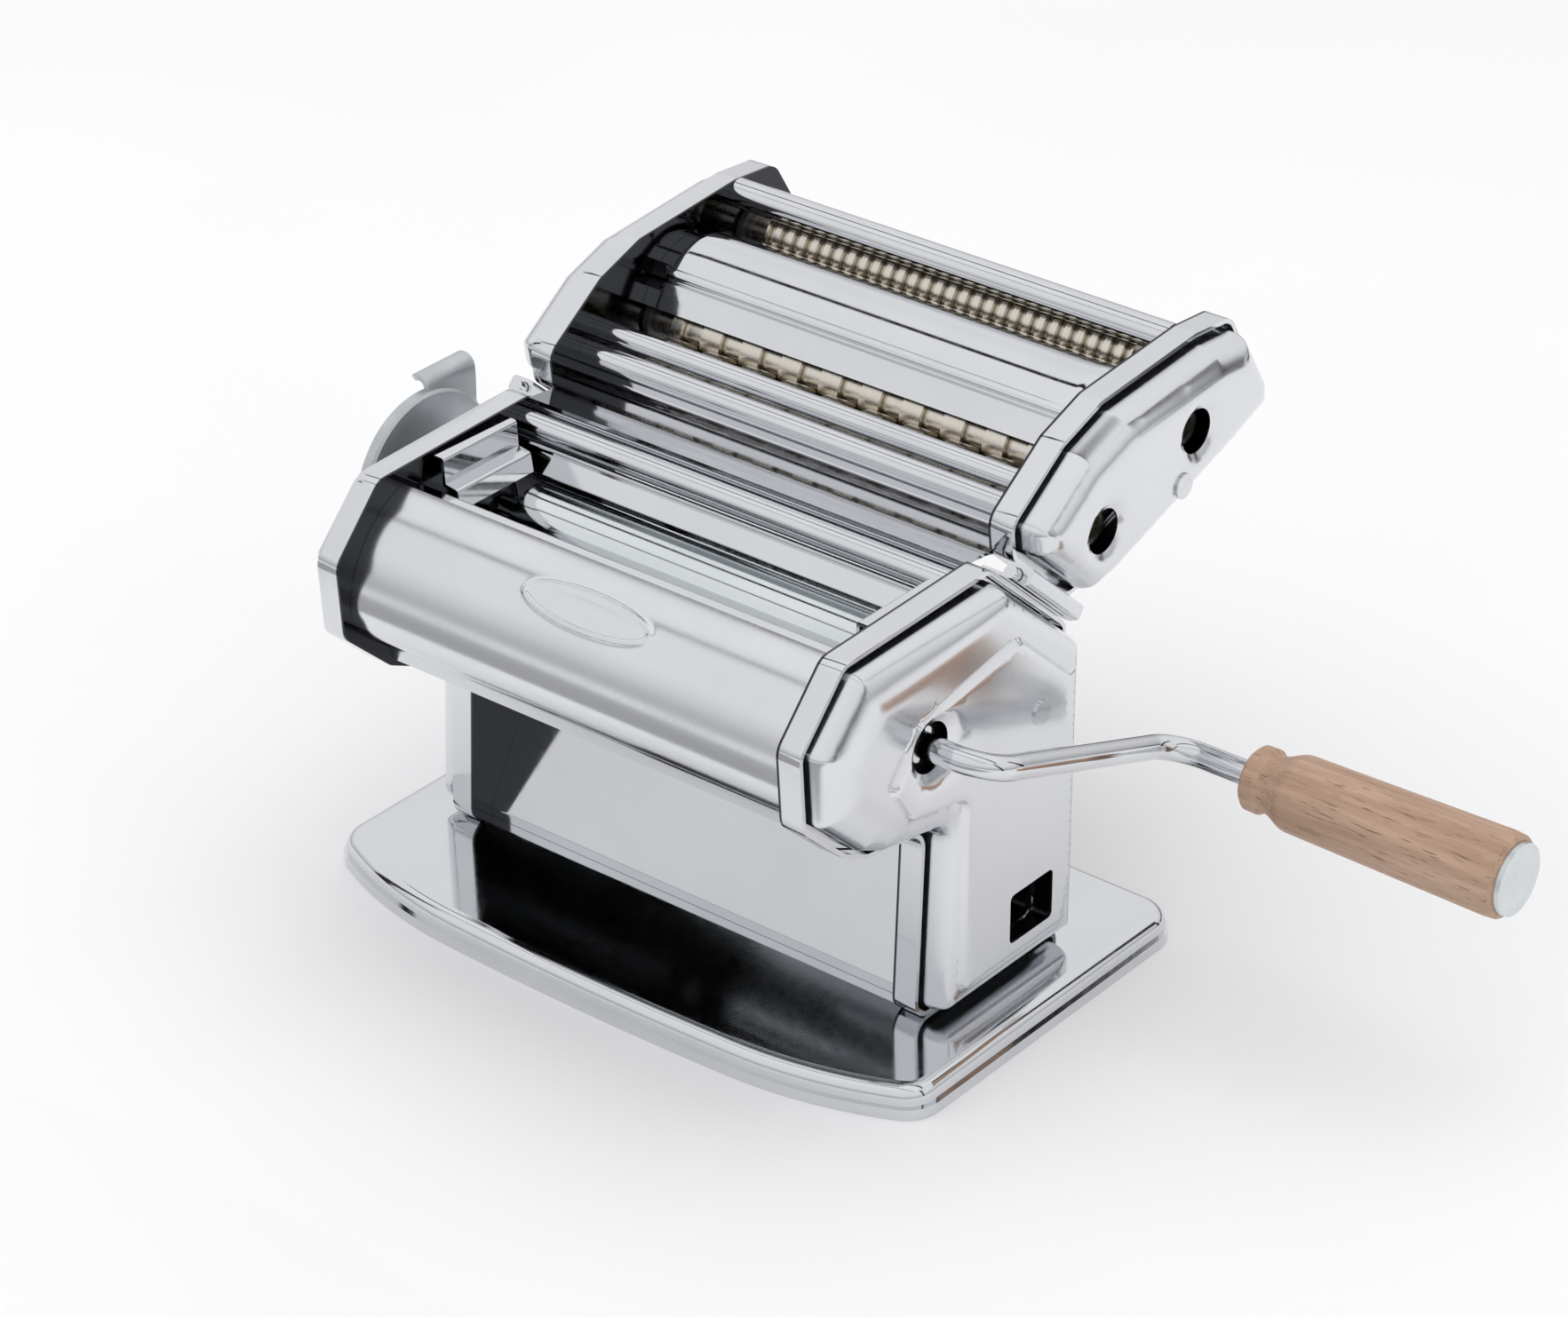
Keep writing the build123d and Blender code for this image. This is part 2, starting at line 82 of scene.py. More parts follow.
camera = bpy.data.objects.new("camera", bpy.data.cameras.new("camera"))
bpy.context.scene.collection.objects.link(camera)
azimuth, elevation = math.radians(studio["azimuth"]), math.radians(studio["elevation"])
looking = Vector((-math.sin(azimuth) * math.cos(elevation), math.cos(azimuth) * math.cos(elevation),
                  -math.sin(elevation)))
camera.location = studio["cameraAt"]
camera.rotation_mode = "QUATERNION"
camera.rotation_quaternion = looking.to_track_quat("-Z", "Y")
camera.data.lens = studio["lens"]
camera.data.sensor_width = 36
bpy.context.scene.camera = camera
bpy.context.scene.view_settings.view_transform = "Standard"

world = bpy.data.worlds.new("whiteTent")
bpy.context.scene.world = world
world.use_nodes = True
tent = world.node_tree
tent.nodes.clear()
direction = addNode(tent, "ShaderNodeTexCoord")
parts = addNode(tent, "ShaderNodeSeparateXYZ", links={0: direction.outputs["Generated"]})
height = addNode(tent, "ShaderNodeMapRange", {"From Min": -1.0, "From Max": 1.0},
                 {"Value": parts.outputs["Z"]})
shade = addNode(tent, "ShaderNodeValToRGB", links={"Fac": height.outputs["Result"]})
ramp = shade.color_ramp
for place, value in studio["tent"]:
    at = (place + 1) / 2
    stop = ramp.elements[0] if at == 0 else ramp.elements[1] if at == 1 else ramp.elements.new(at)
    stop.color = (value, value, value * 1.01, 1)
backdrop = addNode(tent, "ShaderNodeBackground", {"Strength": studio["tentStrength"]},
                   {"Color": shade.outputs["Color"]})
addNode(tent, "ShaderNodeOutputWorld", links={"Surface": backdrop.outputs[0]})

# dark cards round the machine that only show as reflections in the polished metal
darkCards = {
    # name: corner, the two sides from it, grey
    "cardFront": ((-0.75, -0.80, 0.002), (1.25, 0, 0), (0, 0.58, 0), "#A2A2A4"),
    "cardRight": ((1.05, -0.10, 0.02), (0, 0.10, 0), (0, 0, 0.9), "#0A0A0B"),
    "cardLeft": ((-0.95, -0.55, 0.02), (0, 0.12, 0), (0, 0, 0.9), "#0A0A0B"),
    "cardBack": ((-0.60, 0.95, 0.02), (1.2, 0, 0), (0, 0, 0.10), "#0A0A0B"),
    "cardCorner": ((0.62, 0.80, 0.02), (0.10, -0.08, 0), (0, 0, 0.8), "#0A0A0B"),
    "cardOverhead": ((-1.3, 0.20, 1.30), (2.6, 0, 0), (0, 0.13, 0), "#0A0A0B"),
    "cardHigh": ((-1.3, -0.55, 1.30), (2.6, 0, 0), (0, 0.07, 0), "#3A3A3C"),
}

softLights = {
    # name: position, size, power in watts, aimed at the middle of the machine
    "keyLeft": ((-0.9, -0.6, 1.3), 0.9, 3.0),
    "overhead": ((0.1, 0.3, 1.6), 1.2, 4.0),
    "fillRight": ((1.3, 0.2, 0.9), 0.8, 1.5),
}
for name, (position, size, power) in softLights.items():
    lamp = bpy.data.lights.new(name, "AREA")
    lamp.shape = "SQUARE"
    lamp.size = size
    lamp.energy = power
    light = bpy.data.objects.new(name, lamp)
    bpy.context.scene.collection.objects.link(light)
    light.location = position
    light.visible_glossy = False               # the tent is what shows in the metal, not the lamps
    light.rotation_mode = "QUATERNION"
    light.rotation_quaternion = (Vector(studio["lampsAimAt"]) - Vector(position)).to_track_quat("-Z", "Y")
print("studio ready")


# materials
def newMaterial(name):
    material = bpy.data.materials.new(name)
    material.use_nodes = True
    tree = material.node_tree
    tree.nodes.clear()
    return material, tree


def finishMaterial(tree, settings, links):
    shader = addNode(tree, "ShaderNodeBsdfPrincipled", settings, links)
    addNode(tree, "ShaderNodeOutputMaterial", links={"Surface": shader.outputs["BSDF"]})


def metalFinish(name, look):
    # a bare or plated metal: tint mottling, uneven polish and the marks of how it was made
    material, tree = newMaterial(name)
    place = addNode(tree, "ShaderNodeTexCoord").outputs["Object"]
    broad = addNode(tree, "ShaderNodeTexNoise", {"Scale": 1000 / look["patchMm"], "Detail": 3.0},
                    {"Vector": place})
    tint = addNode(tree, "ShaderNodeMix", {"data_type": "RGBA", 6: linearColour(look["light"]),
                                           7: linearColour(look["dark"])}, {0: broad.outputs["Fac"]})
    if "paintedShadeEdgeMm" in look:
        # painted shade: the face between the end plates is coloured dark grey where shade falls, this far from
        # the middle
        x = addNode(tree, "ShaderNodeSeparateXYZ", links={0: place}).outputs["X"]
        out = addNode(tree, "ShaderNodeMath", {"operation": "ABSOLUTE"}, {0: x})
        edge = look["paintedShadeEdgeMm"]
        wall = addNode(tree, "ShaderNodeMapRange",
                       {"From Min": (edge - look["paintedShadeBlendMm"]) * mm, "From Max": edge * mm,
                        "To Min": 1.0, "To Max": 0.0},
                       {"Value": out.outputs["Value"]})
        tint = addNode(tree, "ShaderNodeMix", {"data_type": "RGBA", 7: linearColour(look["wall"])},
                       {0: wall.outputs["Result"], 6: tint.outputs[2]})
    stretched = addNode(tree, "ShaderNodeMapping", {"Scale": look["grainStretch"]}, {"Vector": place})
    grain = addNode(tree, "ShaderNodeTexNoise", {"Scale": 1000 / look["grainMm"], "Detail": 4.0},
                    {"Vector": stretched.outputs["Vector"]})
    both = addNode(tree, "ShaderNodeMath", {"operation": "ADD"},
                   {0: broad.outputs["Fac"], 1: grain.outputs["Fac"]})
    low, high = look["roughness"]
    rough = addNode(tree, "ShaderNodeMapRange",
                    {"From Min": 0.7, "From Max": 1.3, "To Min": low, "To Max": high},
                    {"Value": both.outputs["Value"]})
    ripple = addNode(tree, "ShaderNodeBump", {"Strength": look["ripple"], "Distance": look["rippleMm"] * mm},
                     {"Height": broad.outputs["Fac"]})
    marks = addNode(tree, "ShaderNodeBump", {"Strength": look["marks"], "Distance": look["marksMm"] * mm},
                    {"Height": grain.outputs["Fac"], "Normal": ripple.outputs["Normal"]})
    finishMaterial(tree, {"Metallic": 1.0},
                   {"Base Color": tint.outputs[2], "Roughness": rough.outputs["Result"],
                    "Normal": marks.outputs["Normal"]})
    return material


finishes = {
    # electroplated chrome on pressed sheet: a cool mirror with the faint waviness of the press
    "platedChromeSheet": {"light": "#DFE0E3", "dark": "#D3D5D8", "patchMm": 38,
                          "grainMm": 2.5, "grainStretch": (1, 1, 1),
                          "roughness": (0.05, 0.12), "ripple": 0.10, "rippleMm": 0.03,
                          "marks": 0.10, "marksMm": 0.004},
    # covers: chrome over a finely blasted face, so what they mirror is soft
    "satinChromeCover": {"light": "#E2E3E6", "dark": "#D8DADD", "patchMm": 45,
                         "grainMm": 1.2, "grainStretch": (1, 1, 1),
                         "roughness": (0.15, 0.21), "ripple": 0.08, "rippleMm": 0.03,
                         "marks": 0.08, "marksMm": 0.004},
    # end plates: chrome outside and on the turned edge, dark grey painted shade on the face between the plates
    "platedEndPlate": {"light": "#DFE0E3", "dark": "#D3D5D8", "patchMm": 38,
                       "grainMm": 2.5, "grainStretch": (1, 1, 1),
                       "roughness": (0.06, 0.13), "ripple": 0.25, "rippleMm": 0.05,
                       "marks": 0.10, "marksMm": 0.004,
                       # the dark grey of the face between the plates is painted shade
                       "paintedShadeEdgeMm": 90.1, "paintedShadeBlendMm": 0.4, "wall": "#3E3F42"},
    # inner sheet: plated, but coloured darker than the plated finish as painted shade, since it is seen only
    # in the dark between the plates
    "innerSheetPaintedShade": {"light": "#8E9092", "dark": "#77797C", "patchMm": 20,
                   "grainMm": 1.5, "grainStretch": (1, 1, 1),
                   "roughness": (0.10, 0.20), "ripple": 0.25, "rippleMm": 0.05,
                   "marks": 0.15, "marksMm": 0.006},
    # the back of a pressed cover: never polished, so rougher; its near-black colour is painted shade on the
    # hidden inside
    "dullInsidePaintedShade": {"light": "#4A4B4E", "dark": "#343538", "patchMm": 15,
                   "grainMm": 1.2, "grainStretch": (1, 1, 1),
                   "roughness": (0.30, 0.45), "ripple": 0.2, "rippleMm": 0.05,
                   "marks": 0.2, "marksMm": 0.01},
    # drawn steel bar, plated: mirror with fine draw lines along its length
    "platedDrawnBar": {"light": "#E2E3E6", "dark": "#D2D4D8", "patchMm": 25,
                       "grainMm": 0.9, "grainStretch": (0.03, 1, 1),
                       "roughness": (0.06, 0.13), "ripple": 0.15, "rippleMm": 0.03,
                       "marks": 0.25, "marksMm": 0.006},
    # ground and nickel-plated rollers: grinding rings run round them, drawn at 0.8 mm so that they show
    "groundNickel": {"light": "#E3E7E7", "dark": "#CFD5D6", "patchMm": 30,
                     "grainMm": 0.8, "grainStretch": (1, 0.02, 0.02),
                     "roughness": (0.06, 0.13), "ripple": 0.1, "rippleMm": 0.02,
                     "marks": 0.30, "marksMm": 0.006},
    # hobbed steel, oiled: darker and duller, with tool lines across the teeth
    "hobbedSteel": {"light": "#A9A8A6", "dark": "#7E7D7B", "patchMm": 6,
                    "grainMm": 0.5, "grainStretch": (0.1, 1, 1),
                    "roughness": (0.25, 0.42), "ripple": 0.1, "rippleMm": 0.02,
                    "marks": 0.4, "marksMm": 0.02},
    # plated screw heads, barrel polished: small soft scuffs
    "platedScrew": {"light": "#E8E9EB", "dark": "#C9CBCE", "patchMm": 3,
                    "grainMm": 0.6, "grainStretch": (1, 1, 1),
                    "roughness": (0.10, 0.24), "ripple": 0.2, "rippleMm": 0.02,
                    "marks": 0.2, "marksMm": 0.01},
    # pressed aluminium disc: satin, fine turning rings
    "satinAluminium": {"light": "#DDE1E2", "dark": "#CDD2D4", "patchMm": 5,
                       "grainMm": 0.5, "grainStretch": (1, 1, 1),
                       "roughness": (0.30, 0.42), "ripple": 0.1, "rippleMm": 0.02,
                       "marks": 0.2, "marksMm": 0.01},
    # die-cast zinc, satin plated: pale grey, fine cast grain
    "castZinc": {"light": "#D2D6D8", "dark": "#BFC4C6", "patchMm": 9,
                 "grainMm": 0.7, "grainStretch": (1, 1, 1),
                 "roughness": (0.34, 0.48), "ripple": 0.2, "rippleMm": 0.04,
                 "marks": 0.45, "marksMm": 0.02},
}
made = {name: metalFinish(name, look) for name, look in finishes.items()}


def turnedCutterSteel():
    # turned steel with a warm tint, darkened as painted shade in the grooves, where ambient occlusion finds
    # them
    look = {"crest": "#DDD7CC", "flank": "#8C8272", "groove": "#221D18", "paintedShadeAt": 0.22, "flankAt": 0.42,
            "crestAt": 0.72, "shadeReachMm": 2.2, "scratchMm": 0.6, "scratch": 0.3, "scratchDeepMm": 0.01,
            "roughness": (0.16, 0.34)}
    material, tree = newMaterial("turnedCutterSteel")
    place = addNode(tree, "ShaderNodeTexCoord").outputs["Object"]
    stretched = addNode(tree, "ShaderNodeMapping", {"Scale": (1, 0.15, 0.15)}, {"Vector": place})
    lines = addNode(tree, "ShaderNodeTexNoise", {"Scale": 1000 / look["scratchMm"], "Detail": 3.0},
                    {"Vector": stretched.outputs["Vector"]})
    occlusion = addNode(tree, "ShaderNodeAmbientOcclusion",
                        {"Distance": look["shadeReachMm"] * mm, "samples": 8})
    depth = addNode(tree, "ShaderNodeValToRGB", links={"Fac": occlusion.outputs["AO"]})
    stops = depth.color_ramp.elements
    # painted shade: the colour runs from near black where ambient occlusion is strongest, through a half
    # shade, to the plain tint on the open crests
    stops[0].position, stops[0].color = look["paintedShadeAt"], linearColour(look["groove"])
    stops[1].position, stops[1].color = look["crestAt"], linearColour(look["crest"])
    stops.new(look["flankAt"]).color = linearColour(look["flank"])
    low, high = look["roughness"]
    rough = addNode(tree, "ShaderNodeMapRange", {"To Min": low, "To Max": high},
                    {"Value": lines.outputs["Fac"]})
    bump = addNode(tree, "ShaderNodeBump",
                   {"Strength": look["scratch"], "Distance": look["scratchDeepMm"] * mm},
                   {"Height": lines.outputs["Fac"]})
    finishMaterial(tree, {"Metallic": 1.0},
                   {"Base Color": depth.outputs["Color"], "Roughness": rough.outputs["Result"],
                    "Normal": bump.outputs["Normal"]})
    return material


def oiledBeech():
    # turned beech, lightly oiled: long straight grain along the handle, short dark flecks, open pores
    look = {"pale": "#BFA08A", "mid": "#9F8069", "fleck": "#7A5B45", "midAt": 0.32, "paleAt": 0.68,
            "ringMm": 1.7, "ringStretch": (0.06, 1, 1), "fleckMm": 0.32, "fleckStretch": (0.07, 1, 1),
            "fleckFrom": 0.60, "fleckTo": 0.72, "roughness": (0.42, 0.60), "pores": 0.35, "poreMm": 0.05}
    material, tree = newMaterial("oiledBeech")
    place = addNode(tree, "ShaderNodeTexCoord").outputs["Object"]
    along = addNode(tree, "ShaderNodeMapping", {"Scale": look["ringStretch"]}, {"Vector": place})
    rings = addNode(tree, "ShaderNodeTexNoise",
                    {"Scale": 1000 / look["ringMm"] / 2, "Detail": 5.0, "Roughness": 0.6},
                    {"Vector": along.outputs["Vector"]})
    body = addNode(tree, "ShaderNodeValToRGB", links={"Fac": rings.outputs["Fac"]})
    stops = body.color_ramp.elements
    stops[0].position, stops[0].color = look["midAt"], linearColour(look["mid"])
    stops[1].position, stops[1].color = look["paleAt"], linearColour(look["pale"])
    short = addNode(tree, "ShaderNodeMapping", {"Scale": look["fleckStretch"]}, {"Vector": place})
    flecks = addNode(tree, "ShaderNodeTexNoise", {"Scale": 1000 / look["fleckMm"] / 2, "Detail": 2.0},
                     {"Vector": short.outputs["Vector"]})
    sparse = addNode(tree, "ShaderNodeMapRange", {"From Min": look["fleckFrom"], "From Max": look["fleckTo"]},
                     {"Value": flecks.outputs["Fac"]})
    colour = addNode(tree, "ShaderNodeMix", {"data_type": "RGBA", 7: linearColour(look["fleck"])},
                     {0: sparse.outputs["Result"], 6: body.outputs["Color"]})
    low, high = look["roughness"]
    rough = addNode(tree, "ShaderNodeMapRange", {"To Min": low, "To Max": high},
                    {"Value": rings.outputs["Fac"]})
    bump = addNode(tree, "ShaderNodeBump",
                   {"Strength": look["pores"], "Distance": look["poreMm"] * mm, "invert": True},
                   {"Height": sparse.outputs["Result"]})
    finishMaterial(tree, {"IOR": 1.5},
                   {"Base Color": colour.outputs[2], "Roughness": rough.outputs["Result"],
                    "Normal": bump.outputs["Normal"]})
    return material


def mouldedFinish(name, look):
    # plastic or rubber out of a mould: even colour with a faint cloud and a fine mould grain
    material, tree = newMaterial(name)
    place = addNode(tree, "ShaderNodeTexCoord").outputs["Object"]
    cloud = addNode(tree, "ShaderNodeTexNoise", {"Scale": 1000 / look["patchMm"]}, {"Vector": place})
    tint = addNode(tree, "ShaderNodeMix", {"data_type": "RGBA", 6: linearColour(look["light"]),
                                           7: linearColour(look["dark"])}, {0: cloud.outputs["Fac"]})
    pebble = addNode(tree, "ShaderNodeTexNoise", {"Scale": 1000 / look["grainMm"]}, {"Vector": place})
    low, high = look["roughness"]
    rough = addNode(tree, "ShaderNodeMapRange", {"To Min": low, "To Max": high},
                    {"Value": pebble.outputs["Fac"]})
    bump = addNode(tree, "ShaderNodeBump", {"Strength": look["pebble"], "Distance": look["pebbleMm"] * mm},
                   {"Height": pebble.outputs["Fac"]})
    finishMaterial(tree, {"IOR": look["ior"]},
                   {"Base Color": tint.outputs[2], "Roughness": rough.outputs["Result"],
                    "Normal": bump.outputs["Normal"]})
    return material


made["turnedCutterSteel"] = turnedCutterSteel()
made["oiledBeech"] = oiledBeech()
mouldings = {
    # moulded acetal bearing: black, slightly waxy
    "mouldedAcetal": {"light": "#3C3C3E", "dark": "#2C2C2E", "patchMm": 6, "grainMm": 0.6,
                      "roughness": (0.35, 0.5), "pebble": 0.3, "pebbleMm": 0.02, "ior": 1.48},
    # moulded nitrile rubber pad: near black, dull
    "mouldedRubber": {"light": "#26262A", "dark": "#1A1A1C", "patchMm": 5, "grainMm": 0.8,
                      "roughness": (0.6, 0.8), "pebble": 0.3, "pebbleMm": 0.02, "ior": 1.52},
}
for name, look in mouldings.items():
    made[name] = mouldedFinish(name, look)
slotFinish = {
    "chrome_sheet": "platedChromeSheet", "chrome_bar": "platedDrawnBar", "roller_steel": "groundNickel",
    "cutter_steel": "turnedCutterSteel", "gear_steel": "hobbedSteel", "bush_plastic": "mouldedAcetal",
    "beech": "oiledBeech", "cap_aluminium": "satinAluminium", "knob_alloy": "castZinc",
    "screw_steel": "platedScrew", "rubber": "mouldedRubber",
}
for part in frame["record"]["subparts"]:
    mesh = nodes[part["node"]].data
    if not mesh.materials:
        mesh.materials.append(None)
    for index in range(len(mesh.materials)):
        mesh.materials[index] = made[slotFinish[part["material_slot"]]]
for name in ("right_frame", "left_frame", "cutter_right_plate", "cutter_left_plate"):
    nodes[name].data.materials[0] = made["platedEndPlate"]
# the sheet between the cutter plates takes the darkened plated finish: painted shade
nodes["cutter_back"].data.materials[0] = made["innerSheetPaintedShade"]
print("materials ready:", len(made))

# pressed edges are never knife sharp: a small round on the bare CAD sheets
edgeRounds = {"right_frame": 0.7, "left_frame": 0.7, "cutter_right_plate": 0.7, "cutter_left_plate": 0.7,
              "mounting_rails": 0.25, "front_guide": 0.3, "rear_guide": 0.3}
for name, width in edgeRounds.items():
    weld = nodes[name].modifiers.new("weld", "WELD")
    weld.merge_threshold = 0.002 * mm
    rounded = nodes[name].modifiers.new("edge", "BEVEL")
    rounded.width = width * mm
    rounded.segments = 3
    rounded.limit_method = "ANGLE"
    rounded.angle_limit = math.radians(50)
    rounded.harden_normals = False


# shapes shared by the pressed pieces
def roundedLoop(points, radius, step):
    # closed outline with round corners, as points about one step apart
    loop = []
    cornerPieces = 6
    count = len(points)
    for i in range(count):
        before, corner, after = (np.array(points[(i + k) % count], float) for k in (-1, 0, 1))
        toBefore = (before - corner) / np.linalg.norm(before - corner)
        toAfter = (after - corner) / np.linalg.norm(after - corner)
        half = math.acos(float(np.clip(toBefore @ toAfter, -1, 1))) / 2
        cut = radius / math.tan(half)
        between = toBefore + toAfter
        centre = corner + between / np.linalg.norm(between) * radius / math.sin(half)
        start, end = corner + toBefore * cut - centre, corner + toAfter * cut - centre
        sweep = math.atan2(start[0] * end[1] - start[1] * end[0], float(start @ end))
        for k in range(cornerPieces + 1):
            turn = sweep * k / cornerPieces
            loop.append(centre + np.array([start[0] * math.cos(turn) - start[1] * math.sin(turn),
                                           start[0] * math.sin(turn) + start[1] * math.cos(turn)]))
    dense = []
    for i, point in enumerate(loop):
        following = loop[(i + 1) % len(loop)]
        pieces = max(1, int(round(np.linalg.norm(following - point) / step)))
        dense += [point + (following - point) * k / pieces for k in range(pieces)]
    return np.array(dense)


def circleLoop(y, z, radius, count=48):
    turns = np.linspace(0, 2 * math.pi, count, endpoint=False)
    return np.stack([y + radius * np.cos(turns), z + radius * np.sin(turns)], 1)


def depthInside(loop, points):
    # distance from each point to the loop, positive inside it
    points = np.asarray(points, float)
    a, b = loop, np.roll(loop, -1, 0)
    edge = b - a
    best = np.full(len(points), 1e9)
    inside = np.zeros(len(points), bool)
    for i in range(len(a)):
        rel = points - a[i]
        along = np.clip(rel @ edge[i] / max(edge[i] @ edge[i], 1e-12), 0, 1)
        best = np.minimum(best, np.hypot(*(rel - along[:, None] * edge[i]).T))
        crosses = (a[i, 1] > points[:, 1]) != (b[i, 1] > points[:, 1])
        if edge[i, 1]:
            at = a[i, 0] + (points[:, 1] - a[i, 1]) * edge[i, 0] / edge[i, 1]
            inside ^= crosses & (points[:, 0] < at)
    return np.where(inside, best, -best)


def smooth(value):
    value = np.clip(value, 0, 1)
    return value * value * (3 - 2 * value)


def newPiece(name, vertices, faces, material, sharp=35, thickness=0.0):
    # vertices in mm
    mesh = bpy.data.meshes.new(name)
    mesh.from_pydata([tuple(float(c) * mm for c in v) for v in vertices], [], faces)
    mesh.materials.append(made[material])
    mesh.materials.append(made["dullInsidePaintedShade"])
    build = bmesh.new()
    build.from_mesh(mesh)
    bmesh.ops.remove_doubles(build, verts=build.verts, dist=1e-7)
    bmesh.ops.dissolve_degenerate(build, dist=1e-7, edges=build.edges)
    build.to_mesh(mesh)
    build.free()
    piece = bpy.data.objects.new(name, mesh)
    bpy.context.scene.collection.objects.link(piece)
    if thickness:
        shell = piece.modifiers.new("sheet", "SOLIDIFY")
        shell.thickness = thickness * mm
        shell.offset = -1
        shell.use_even_offset = False
        shell.material_offset = 1              # the hidden side of a cover is left dull, and dark as painted shade
        graph = bpy.context.evaluated_depsgraph_get()
        graph.update()
        solid = bpy.data.meshes.new_from_object(piece.evaluated_get(graph))
        piece.modifiers.clear()
        piece.data = solid
    piece.data.shade_smooth()
    piece.data.set_sharp_from_angle(angle=math.radians(sharp))
    return piece


pressing = {
    # mm: how far points keep from a hole, how near a fold the grid stays fine, how deep its fine band runs
    "holeClear": 0.35, "foldBand": 5, "edgeBand": 18,
    "flatShare": 0.06, "seed": 3,              # share of grid points kept on the flat, and which ones
    "rowHeight": 0.866,                        # of an equilateral grid, in steps
}


def pressedShell(name, side, look, outline, holes, heightOf):
    # a cover pressed from sheet: a face raised by heightOf, and a wall that runs into the end plate
    loop = roundedLoop(outline, look["corner"], look["step"])
    inward = np.roll(loop, -1, 0) - np.roll(loop, 1, 0)
    inward = np.stack([-inward[:, 1], inward[:, 0]], 1) / np.linalg.norm(inward, axis=1)[:, None]
    if depthInside(loop, loop[:1] + inward[:1] * 0.5)[0] < 0:
        inward = -inward
    folds = look.get("creases", [])
    inner = [loop + inward * inset for inset in look["rings"]]
    inner = [ring[depthInside(loop, ring) > inset - 0.05] for ring, inset in zip(inner, look["rings"])]
    low, high = loop.min(0), loop.max(0)
    gap = look["grid"]
    rows = np.arange(low[1], high[1], gap * pressing["rowHeight"])
    grid = np.array([(y + (row % 2) * gap / 2, z) for row, z in enumerate(rows)
                     for y in np.arange(low[0], high[0], gap)])
    gridDepth = depthInside(loop, grid)
    near = np.zeros(len(grid), bool)
    for shape in list(holes) + folds:
        near |= np.abs(depthInside(shape, grid)) < pressing["foldBand"]
    coarse = np.random.default_rng(pressing["seed"]).random(len(grid)) < pressing["flatShare"]
    fine = (gridDepth < pressing["edgeBand"]) | near | coarse
    grid = grid[(gridDepth > look["rings"][-1] + gap * 0.5) & fine]
    for fold in folds:
        inner.append(fold)
        grid = grid[np.abs(depthInside(fold, grid)) > gap * 0.4]
    free = np.concatenate(inner + [grid])
    clear = depthInside(loop, free) > 0.1
    for hole in holes:
        clear &= depthInside(hole, free) < -pressing["holeClear"]
    free = free[clear]
    loops = [loop] + list(holes)
    fixed = np.concatenate(loops)
    edges, start = [], 0
    for one in loops:
        edges += [(start + i, start + (i + 1) % len(one)) for i in range(len(one))]
        start += len(one)
    flat = [Vector((float(p[0]), float(p[1]))) for p in np.concatenate([fixed, free])]
    verts, _, faces, _, _, _ = delaunay_2d_cdt(flat, edges, [], 1, 1e-4)
    at = np.array([tuple(v) for v in verts])
    middles = np.array([at[list(face)].mean(0) for face in faces])
    keep = depthInside(loop, middles) > 0
    for hole in holes:
        keep &= depthInside(hole, middles) < 0
    depth = depthInside(loop, at)
    x = heightOf(at, depth)
    vertices = [(side * h, p[0], p[1]) for h, p in zip(x, at)]
    shown = [tuple(face) if side > 0 else tuple(reversed(face))
             for face, kept in zip(faces, keep) if kept]
    edgeUse = {}
    for face in shown:
        for a, b in zip(face, face[1:] + face[:1]):
            edgeUse[(a, b)] = edgeUse.get((a, b), 0) + 1
    rim = [(a, b) for a, b in edgeUse if (b, a) not in edgeUse]
    border = {v: abs(depth[v]) < 0.02 for edge in rim for v in edge}
    wall = {v: len(vertices) + i for i, v in enumerate(v for v, outer in border.items() if outer)}
    vertices += [(side * look["wallX"], *at[v]) for v in wall]
    shown += [(b, a, wall[a], wall[b]) for a, b in rim if a in wall and b in wall]
    return newPiece(name, vertices, shown, look["finish"], look["sharp"], look["sheet"])


def shoulder(look, reach):
    # from the rim up to the face in one round, as reach goes from 0 to 1
    crown = look["crown"]
    return look["rimX"] + (look["faceX"] - look["rimX"]) * (1 - (1 - reach) ** crown) ** (1 / crown)


# side covers of the stand: broad rounded border, raised five-sided field, dished crank hole, clamp window
bodyLook = {
    "finish": "satinChromeCover", "sheet": 1.0, "corner": 5.4, "sharp": 40, "step": 1.5, "grid": 2.3,
    "rings": (0.8, 1.65, 1.8, 2.2, 2.8, 3.6, 4.6), "wallX": 92.0,
    "groove": 1.7, "grooveX": 93.0, "rimX": 99.4, "faceX": 107.3, "crown": 2.0,
    # the rounded border is broad at the nose, narrows towards the back, and is narrow down the leg
    "borderBroad": 16.5, "borderLoss": 12.3, "borderFrom": -80, "borderOver": 108,
    "legTop": 98, "legBlend": 22, "legBorder": 4.2,
    "fieldRise": 2.2, "fieldBevel": 2.0, "fieldFolds": (0.0, 0.8, 1.6, 2.4), "fieldCorner": 4.0,
    "outline": [(-68.6, 155.7), (1.3, 157.6), (40.9, 122.2), (40.9, 12.8), (-31.3, 12.8), (-28.4, 81.6),
                (-57.3, 86.2), (-68.0, 91.3), (-87.3, 108.9), (-89.2, 134.5)],
    "field": [(-60.0, 112.0), (-46.0, 130.0), (4.0, 138.6), (32.6, 112.9), (32.6, 20.6), (-23.0, 20.6),
              (-23.0, 92.0), (-50.0, 97.0)],
    "window": [(1.1, 28.0), (23.5, 28.0), (23.5, 46.0), (1.1, 46.0)],
    "crank": (-39.0, 118.5, 8.6), "crankLip": 4.2, "crankDish": 2.4,
    "screw": (14.7, 107.3, 2.5), "spindle": (-13.277, 124.439, 6.0), "windowCorner": 2.0,
}
fieldLoop = roundedLoop(bodyLook["field"], bodyLook["fieldCorner"], 1.0)


